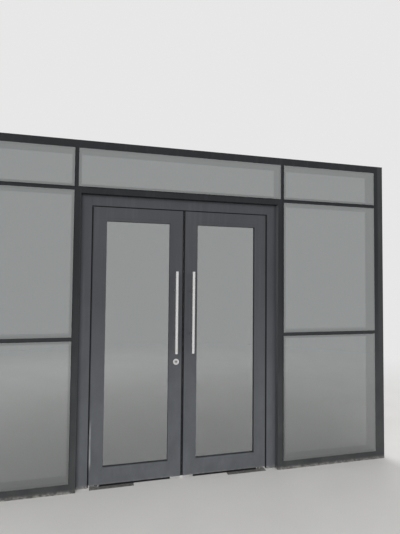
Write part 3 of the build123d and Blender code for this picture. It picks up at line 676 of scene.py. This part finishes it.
def edge_plate_screws():
    """Two screws in each plate let into the meeting edges, and two in the keeper over the bolt."""
    low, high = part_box("lock_case")
    y = (low.y + high.y) / 2
    levels = (low.z + plate_screw_inset, high.z - plate_screw_inset)
    heads = [((high.x, y, z), (1, 0, 0)) for z in levels]
    plate_screws("lock_plate_screws", "left_leaf", heads)

    low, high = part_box("strike_plate")
    levels = (low.z + plate_screw_inset, high.z - plate_screw_inset)
    heads = [((low.x, y, z), (-1, 0, 0)) for z in levels]
    low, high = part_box("flush_bolt_plates")
    for foot in (low.z, high.z - flush_plate_height):
        for z in (foot + plate_screw_inset, foot + flush_plate_height - plate_screw_inset):
            heads.append(((low.x, y, z), (-1, 0, 0)))
    plate_screws("right_edge_screws", "right_leaf", heads)

    low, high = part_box("top_bolt_keeper")
    y = (low.y + high.y) / 2
    ends = (low.x + keeper_screw_inset, high.x - keeper_screw_inset)
    heads = [((x, y, low.z), (0, 0, -1)) for x in ends]
    plate_screws("keeper_screws", "screen", heads)


def pull_screws():
    """A grub screw under each post of the pulls."""
    leaf_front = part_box("left_hinge_stile")[0].y
    leaf_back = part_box("left_hinge_stile")[1].y
    for side in ("left", "right"):
        low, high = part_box(f"{side}_pulls")
        x = (low.x + high.x) / 2
        middle = (low.z + high.z) / 2
        heads = []
        for y in (leaf_front - grub_from_leaf, leaf_back + grub_from_leaf):
            for z in (middle - post_reach, middle + post_reach):
                heads.append(((x, y, z - post_radius), (0, 0, -1)))
        name = f"{side}_pull_screws"
        screws(name, f"{side}_leaf", heads, grub_screw_radius, grub_screw_proud, hex_reach)


def cleat_screws():
    """The screws that hold each cross member of the screen on its cleats."""
    heads = []
    low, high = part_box("head")
    tube_y = (low.y + high.y) / 2
    rows = (tube_y - cleat_screw_spread, tube_y + cleat_screw_spread)

    def pair_of_ends(x_low, x_high, z, up):
        for x in (x_low + cleat_screw_from_end, x_high - cleat_screw_from_end):
            for y in rows:
                heads.append(((x, y, z), (0, 0, up)))

    pair_of_ends(low.x, high.x, low.z, -1)
    jamb_side = high.x
    low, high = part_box("door_transom")
    pair_of_ends(low.x, high.x, high.z, 1)
    mullion_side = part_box("mullions")[1].x
    rails_low, rails_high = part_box("sidelight_rails")
    bottom_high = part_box("bottom_rails")[1]
    for x_low, x_high in ((-jamb_side, -mullion_side), (mullion_side, jamb_side)):
        pair_of_ends(x_low, x_high, rails_low.z, -1)
        pair_of_ends(x_low, x_high, rails_high.z, 1)
        pair_of_ends(x_low, x_high, bottom_high.z, 1)
    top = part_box("mullions")[1].z - cleat_screw_from_end
    for side in (-1, 1):
        for y in rows:
            heads.append(((side * mullion_side, y, top), (side, 0, 0)))
    screws("cleat_screws", "screen", heads, cleat_screw_radius, cleat_screw_proud, cross_reach)


def floor():
    """A wide pale floor, level with the finished floor, that fades into the surround far off."""
    mesh = bpy.data.meshes.new("floor")
    w = floor_half_width
    mesh.from_pydata([(-w, -w, 0), (w, -w, 0), (w, w, 0), (-w, w, 0)], [], [(0, 1, 2, 3)])
    obj = bpy.data.objects.new("floor", mesh)
    bpy.context.scene.collection.objects.link(obj)
    finish = Finish("floor", floor_tone, floor_roughness)
    clouds = finish.noise(scale=1.5, detail=4)
    finish.colour(finish.ramp(clouds, low=scaled(floor_tone, 0.97), high=scaled(floor_tone, 1.03)))
    finish.bump(finish.noise(scale=60, detail=3), depth=0.0005, strength=0.2)
    distance = finish.add("ShaderNodeVectorMath", operation="LENGTH")
    finish.link(finish.place, distance.inputs[0])
    far = distance.outputs["Value"]
    far = finish.span(far, low=0.0, high=1.0, from_low=fade_from, from_high=fade_to, smooth=True)
    surround = finish.add("ShaderNodeEmission")
    surround.inputs["Color"].default_value = (*backdrop_tone, 1)
    mix = finish.add("ShaderNodeMixShader")
    finish.link(far, mix.inputs[0])
    finish.link(finish.shader.outputs[0], mix.inputs[1])
    finish.link(surround.outputs[0], mix.inputs[2])
    finish.link(mix.outputs[0], finish.out.inputs["Surface"])
    mesh.materials.append(finish.material)


camera()
world()
floor()
dress_nodes()
soft_edges()
cover_screws()
edge_plate_screws()
pull_screws()
cleat_screws()
area_light("key", place=(-3.6, -8.8, 3.8), target=(0, 0, 0.9), watts=620)
area_light("fill", place=(4.6, -8.4, 3.6), target=(0.2, 0, 1.0), watts=220)
area_light("inside", place=(0.0, 6.4, 5.8), target=(0, 0, 0.8), watts=350)
bpy.context.scene.view_settings.view_transform = "Standard"
